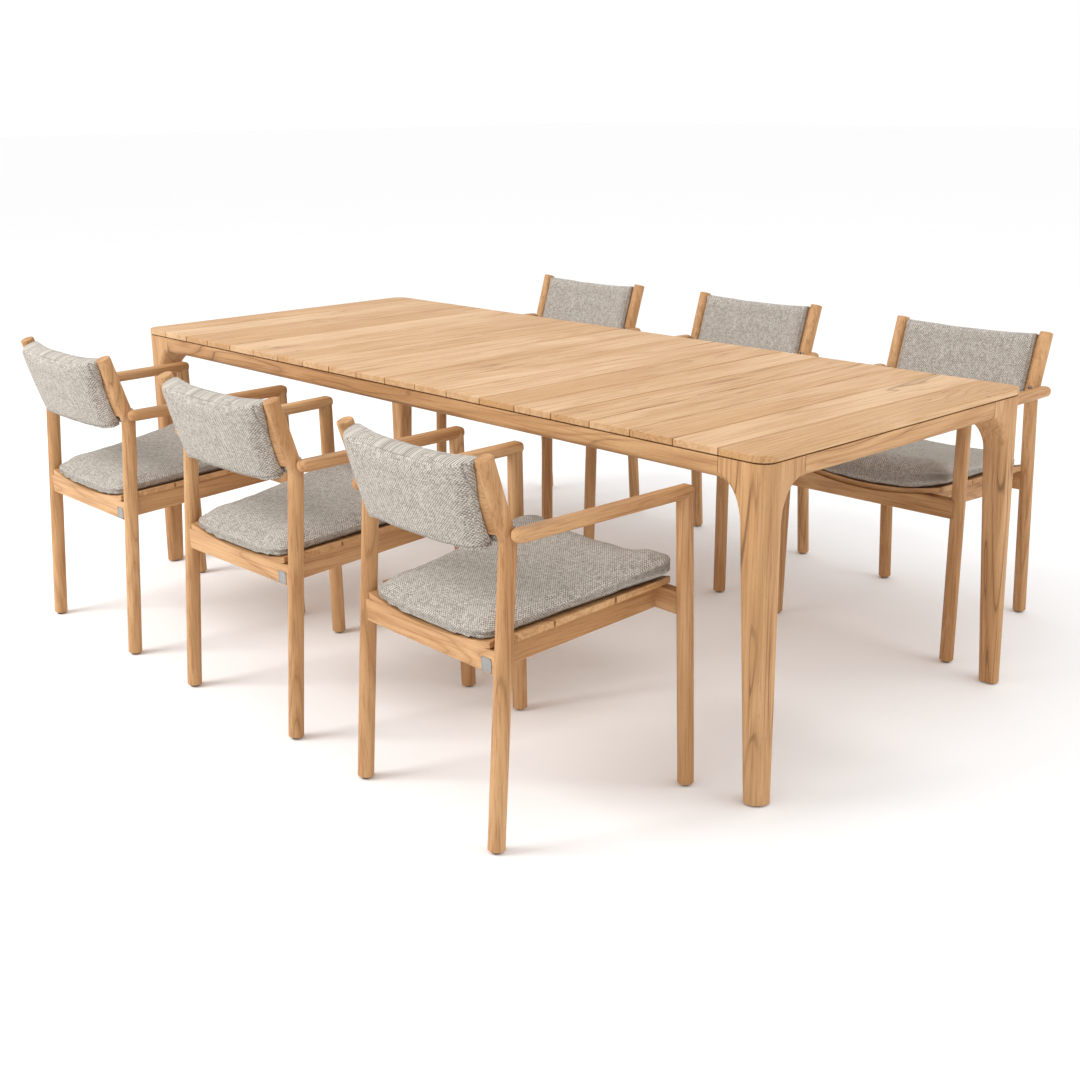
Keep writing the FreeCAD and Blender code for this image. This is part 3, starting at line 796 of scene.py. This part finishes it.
def shape_back_layer(sleeve, gauge, settings):
    """Fills out the layer behind the panel, rolls its sides and pulls its hem in at one side."""
    for vertex in sleeve.data.vertices:
        point = vertex.co.copy()
        if not gauge.is_behind(point):
            continue
        across, up = point.x / gauge.half, gauge.rise(point)
        belly = (1 - across ** 4) * math.sin(math.pi * min(max(up * 0.9 + 0.08, 0), 1))
        lean = smooth_between(-across, 0.5, 1.0)
        rolled = smooth_between(abs(across), ROLL_START, 1.0)
        fullness = BELLY * belly + LEAN * lean - ROLLED_EDGE * rolled
        vertex.co += gauge.behind * gauge.free(point) * fullness
        low_share = smooth_between(1 - up, 0, 0.6)
        inward = -settings.hem_shift * smooth_between(across, 0.2, 1) * low_share
        vertex.co.x += inward
        vertex.co.y += ((point.x + inward) ** 2 - point.x ** 2) / (2 * settings.bow_radius)


def sewn(value, line, reach):
    """1 on a line of stitches and 0 beyond its reach."""
    return 1 - smooth_between(abs(value - line), 0.0, reach)


def sew_sleeve(sleeve, gauge):
    """Draws the hem and the side seams in."""
    strength = []
    for vertex in sleeve.data.vertices:
        hem = sewn(gauge.rise(vertex.co) * gauge.tall, HEM_HEIGHT, SEAM_REACH)
        side = sewn(abs(vertex.co.x + 3 * MM), gauge.half - SIDE_SEAM_INSET, SEAM_REACH)
        strength.append(max(hem, side * SIDE_SEAM_SHARE))
    for vertex, normal, near in zip(sleeve.data.vertices, point_normals(sleeve), strength):
        vertex.co -= normal * (near * SEAM_DEPTH * gauge.free(vertex.co))
    write_seam(sleeve, strength)


def make_back_sleeve(settings):
    """One padded sleeve in a chair's own axes. It hangs over the back panel and is sewn along its hem."""
    to_chair = chair_place(1).inverted()
    sleeve = copy_of_node("chair_1_back_cushion", to_chair)
    panel = copy_of_node("chair_1_backrest", to_chair)
    gauge = SleeveGauge(sleeve, panel)
    drop(panel)
    voxel_copy(sleeve, settings.grid * SLEEVE_CELL)
    shape_back_layer(sleeve, gauge, settings)
    before = [v.co.copy() for v in sleeve.data.vertices]
    inflate(sleeve, settings.pressure)
    cap_moves(sleeve, before, lambda start: settings.back_swell * gauge.free(start))
    soften(sleeve, [gauge.free(v.co) for v in sleeve.data.vertices], SOFTENING_ROUNDS)
    subdivide_smooth(sleeve)
    sew_sleeve(sleeve, gauge)

    def cloth_place(point, normal):
        along = point.dot(gauge.up_post)
        if abs(normal.x) > 0.8:
            return (point.y, along)
        return (point.x, along)
    write_cloth_map(sleeve, cloth_place)
    return sleeve


# ---------------------------------------------------------------- operators

class PATIO_OT_studio(bpy.types.Operator):
    """Add the floor, the lights and the camera"""
    bl_idname = "patio.studio"
    bl_label = "Studio"

    def execute(self, context):
        settings = context.scene.patio_studio
        context.scene.view_settings.view_transform = "Standard"
        deselect_all()
        bpy.ops.mesh.primitive_plane_add(size=FLOOR_SIZE, location=(0, 0, -FLOOR_DROP))
        floor = context.object
        floor.name = "floor"
        settle(floor)
        material, tree, shader = new_material("pale_floor")
        coordinates = add_node(tree, "ShaderNodeTexCoord").outputs["Object"]
        mottle = noise_of(tree, coordinates, 1.5, 2.0)
        colour = four(settings.floor_colour)
        tree.links.new(blend_colours(tree, mottle, colour, four([c * 0.98 for c in colour])),
                       shader.inputs["Base Color"])
        shader.inputs["Roughness"].default_value = 0.95
        floor.data.materials.append(material)

        world = bpy.data.worlds.new("studio")
        context.scene.world = world
        world.use_nodes = True
        tree = world.node_tree
        sky = tree.nodes["Background"]
        sky.inputs["Color"].default_value = (1, 1, 1, 1)
        ray = add_node(tree, "ShaderNodeLightPath").outputs["Is Camera Ray"]
        bright = add_node(tree, "ShaderNodeMapRange",
                          {"Value": ray, "To Min": settings.sky_strength, "To Max": 1.0})
        tree.links.new(bright.outputs["Result"], sky.inputs["Strength"])

        self.lamp("key", settings.key_power, KEY_PLACE, KEY_SIZE)
        self.lamp("fill", settings.fill_power, FILL_PLACE, FILL_SIZE)
        self.camera(context)
        return {"FINISHED"}

    def lamp(self, name, power, place, size):
        """A square soft lamp that faces the table."""
        deselect_all()
        bpy.ops.object.light_add(type="AREA", location=place)
        lamp = bpy.context.object
        lamp.name = name
        lamp.data.energy = power
        lamp.data.size = size
        aim = Vector(AIM_POINT) - Vector(place)
        lamp.rotation_euler = aim.to_track_quat("-Z", "Y").to_euler()

    def camera(self, context):
        """The camera stands at the right-hand near corner and looks down a little."""
        level = Vector((math.sin(CAMERA_YAW), math.cos(CAMERA_YAW), 0)) * math.cos(CAMERA_PITCH)
        forward = level - Vector((0, 0, math.sin(CAMERA_PITCH)))
        right = Vector((math.cos(CAMERA_YAW), -math.sin(CAMERA_YAW), 0))
        upward = right.cross(forward)
        across = right * math.cos(CAMERA_ROLL) + upward * math.sin(CAMERA_ROLL)
        upward = upward * math.cos(CAMERA_ROLL) - right * math.sin(CAMERA_ROLL)
        deselect_all()
        bpy.ops.object.camera_add()
        camera = context.object
        camera.name = "camera"
        turn = Matrix((across, upward, -forward)).transposed().to_4x4()
        camera.matrix_world = Matrix.Translation(CAMERA_PLACE) @ turn
        camera.data.sensor_width = SENSOR_WIDTH
        camera.data.lens = CAMERA_LENS
        context.scene.camera = camera


class PATIO_OT_table_finish(bpy.types.Operator):
    """Give the table its teak and its feet"""
    bl_idname = "patio.table_finish"
    bl_label = "Table finish"

    def execute(self, context):
        colours = context.scene.patio_teak
        low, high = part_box("table_top_slats")
        pitch = (high[0] - low[0]) / TOP_SLATS
        top = teak("teak_top", "Y", colours.top_pale, colours.top_deep, colours.streak,
                   (pitch, low[0]), TOP_LINES)
        give_finish(["table_top_slats"], top)
        shades = colours.frame_pale, colours.frame_deep, colours.streak
        give_finish(["table_bearers"], teak("teak_bearers", None, *shades))
        long_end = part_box("table_long_apron_near")[1][0]
        give_finish(["table_long_apron_near", "table_long_apron_far"],
                    teak("teak_rails_lengthways", "X", *shades, joint=("X", long_end)))
        short_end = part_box("table_short_apron_left")[1][1]
        give_finish(["table_short_apron_left", "table_short_apron_right"],
                    teak("teak_rails_crossways", "Y", *shades, joint=("Y", short_end)))
        give_finish(["table_corner_brackets"], brushed_steel())
        give_finish([f"table_leg_{n}" for n in range(1, 5)], teak("teak_legs", "Z", *shades))
        give_finish(["table_glides"], moulded_plastic())
        return {"FINISHED"}


class PATIO_OT_chair_finish(bpy.types.Operator):
    """Give the chair frames their teak"""
    bl_idname = "patio.chair_finish"
    bl_label = "Chair finish"

    def execute(self, context):
        colours = context.scene.patio_teak
        shades = colours.frame_pale, colours.frame_deep, colours.streak
        upright = teak("teak_chair_legs", "Z", *shades, None, CHAIR_LEG_LINES)
        arms = teak("teak_chair_arms", "Y", *shades, None, CHAIR_ARM_LINES)
        sideways = teak("teak_chair_slats", "X", *shades, None, CHAIR_RAIL_LINES)
        rails = teak("teak_chair_rails", None, *shades, None, CHAIR_RAIL_LINES)
        for number in CHAIRS:
            chair = f"chair_{number}_"
            give_finish([chair + "legs"], upright)
            give_finish([chair + "arms"], arms)
            give_finish([chair + "seat_slats", chair + "backrest"], sideways)
            give_finish([chair + "seat_rails"], rails)
        return {"FINISHED"}


class PATIO_OT_chair_fittings(bpy.types.Operator):
    """Add the feet, bolt heads and blank plate of every chair"""
    bl_idname = "patio.chair_fittings"
    bl_label = "Chair fittings"

    def execute(self, context):
        parts = self.parts()
        steel, plastic = brushed_steel(), moulded_plastic()
        glides = join("glides", [self.glide(p) for p in parts["glides"]])
        bolts = join("bolts", [self.bolt(p) for p in parts["bolts"]])
        plate = self.plate(parts["plate"][0])
        for number in CHAIRS:
            place = chair_place(number)
            body, node = f"chair_{number}", f"chair_{number}_fittings"
            place_copy(glides, f"{body}_glides", place, body, plastic, "dark_plastic", node)
            place_copy(bolts, f"{body}_bolt_heads", place, body, steel, "steel", node)
            place_copy(plate, f"{body}_blank_plate", place, body, steel, "steel", node)
        for piece in (glides, bolts, plate):
            drop(piece)
        return {"FINISHED"}

    def parts(self):
        """The boxes of the CAD fittings in the chair's own axes, sorted into kinds."""
        joined = copy_of_node("chair_1_fittings", chair_place(1).inverted())
        make_active(joined)
        bpy.ops.mesh.separate(type="LOOSE")
        kinds = {"glides": [], "bolts": [], "plate": []}
        for piece in list(bpy.context.selected_objects):
            points = [v.co for v in piece.data.vertices]
            low = Vector([min(p[i] for p in points) for i in range(3)])
            high = Vector([max(p[i] for p in points) for i in range(3)])
            if high.z < 20 * MM:
                kinds["glides"].append((low, high))
            elif high.x - low.x > 20 * MM:
                kinds["plate"].append((low, high))
            else:
                kinds["bolts"].append((low, high))
            drop(piece)
        return kinds

    def glide(self, box):
        """A plastic foot: a rimmed puck."""
        low, high = box
        radius = (high.x - low.x) / 2
        return disc("glide", radius, high.z - low.z, (low + high) / 2, 1.2 * MM)

    def bolt(self, box):
        """A domed bolt head with a round recess, lying against the front of the post."""
        low, high = box
        centre, size = (low + high) / 2, high - low
        radius = size.x / 2
        deselect_all()
        bpy.ops.mesh.primitive_cylinder_add(
            vertices=24, radius=radius, depth=size.y, location=centre,
            rotation=(-math.pi / 2, 0, 0))
        bolt = bpy.context.object
        settle(bolt)
        bpy.ops.object.mode_set(mode="EDIT")
        rim = high.y - 1e-5
        select_edges(bolt, lambda a, b: a.y > rim and b.y > rim)
        bpy.ops.mesh.bevel(offset=size.y * 0.45, segments=3, affect="EDGES")
        bpy.ops.object.mode_set(mode="OBJECT")
        for face in bolt.data.polygons:
            face.select = face.normal.y > 0.99 and face.center.y > rim - size.y * 0.05
        bpy.ops.object.mode_set(mode="EDIT")
        bpy.ops.mesh.select_mode(type="FACE")
        bpy.ops.mesh.inset(thickness=radius * 0.25)
        bpy.ops.mesh.extrude_region_move(TRANSFORM_OT_translate={"value": (0, -size.y * 0.5, 0)})
        bpy.ops.object.mode_set(mode="OBJECT")
        bpy.ops.object.shade_smooth_by_angle(angle=math.radians(35))
        return bolt

    def plate(self, box):
        """A blank plate with rounded corners and a raised field."""
        low, high = box
        deselect_all()
        bpy.ops.mesh.primitive_cube_add(size=1, location=(low + high) / 2)
        plate = bpy.context.object
        plate.scale = high - low
        settle(plate)
        bpy.ops.object.mode_set(mode="EDIT")
        select_edges(plate, lambda a, b: abs(a.y - b.y) > 0.5 * MM)
        bpy.ops.mesh.bevel(offset=3 * MM, segments=5, affect="EDGES")
        bpy.ops.object.mode_set(mode="OBJECT")
        for face in plate.data.polygons:
            face.select = face.normal.y < -0.99
        bpy.ops.object.mode_set(mode="EDIT")
        bpy.ops.mesh.select_mode(type="FACE")
        bpy.ops.mesh.inset(thickness=2 * MM)
        bpy.ops.mesh.extrude_region_move(TRANSFORM_OT_translate={"value": (0, 0.25 * MM, 0)})
        bpy.ops.object.mode_set(mode="OBJECT")
        bpy.ops.object.shade_smooth_by_angle(angle=math.radians(35))
        return plate


class PATIO_OT_seat_cushions(bpy.types.Operator):
    """Add the six seat cushions"""
    bl_idname = "patio.seat_cushions"
    bl_label = "Seat cushions"

    def execute(self, context):
        cushion = make_seat_cushion(context.scene.patio_cushions)
        cover = woven_fabric(context.scene.patio_fabric)
        for number in CHAIRS:
            piece = place_copy(cushion, f"chair_{number}_seat_pad", chair_place(number),
                               f"chair_{number}_seat_pad", cover, "woven_fabric",
                               f"chair_{number}_seat_cushion")
        drop(cushion)
        return {"FINISHED"}


class PATIO_OT_back_sleeves(bpy.types.Operator):
    """Add the six padded sleeves of the backrests"""
    bl_idname = "patio.back_sleeves"
    bl_label = "Back sleeves"

    def execute(self, context):
        sleeve = make_back_sleeve(context.scene.patio_cushions)
        cover = woven_fabric(context.scene.patio_fabric)
        for number in CHAIRS:
            piece = place_copy(sleeve, f"chair_{number}_back_sleeve", chair_place(number),
                               f"chair_{number}_back_pad", cover, "woven_fabric",
                               f"chair_{number}_back_cushion")
        drop(sleeve)
        return {"FINISHED"}


class PATIO_PT_panel(bpy.types.Panel):
    """Lists the pieces of the dining set"""
    bl_label = "Patio dining set"
    bl_idname = "PATIO_PT_panel"
    bl_space_type = "VIEW_3D"
    bl_region_type = "UI"
    bl_category = "Patio"

    def draw(self, context):
        for operator in OPERATORS:
            self.layout.operator(operator.bl_idname)


SETTINGS = {
    "patio_studio": StudioSettings,
    "patio_teak": TeakSettings,
    "patio_fabric": FabricSettings,
    "patio_cushions": CushionSettings,
}
OPERATORS = (
    PATIO_OT_studio,
    PATIO_OT_table_finish,
    PATIO_OT_chair_finish,
    PATIO_OT_chair_fittings,
    PATIO_OT_seat_cushions,
    PATIO_OT_back_sleeves,
)


def register():
    """Adds the settings, the operators and the panel."""
    for name, group in SETTINGS.items():
        bpy.utils.register_class(group)
        setattr(bpy.types.Scene, name, bpy.props.PointerProperty(type=group))
    for operator in OPERATORS:
        bpy.utils.register_class(operator)
    bpy.utils.register_class(PATIO_PT_panel)


def unregister():
    """Takes away what register added."""
    bpy.utils.unregister_class(PATIO_PT_panel)
    for operator in reversed(OPERATORS):
        bpy.utils.unregister_class(operator)
    for name, group in SETTINGS.items():
        delattr(bpy.types.Scene, name)
        bpy.utils.unregister_class(group)


def main():
    """Makes every piece in order."""
    register()
    bpy.ops.patio.studio()
    bpy.ops.patio.table_finish()
    bpy.ops.patio.chair_finish()
    bpy.ops.patio.chair_fittings()
    bpy.ops.patio.seat_cushions()
    bpy.ops.patio.back_sleeves()


if __name__ == "__main__":
    main()
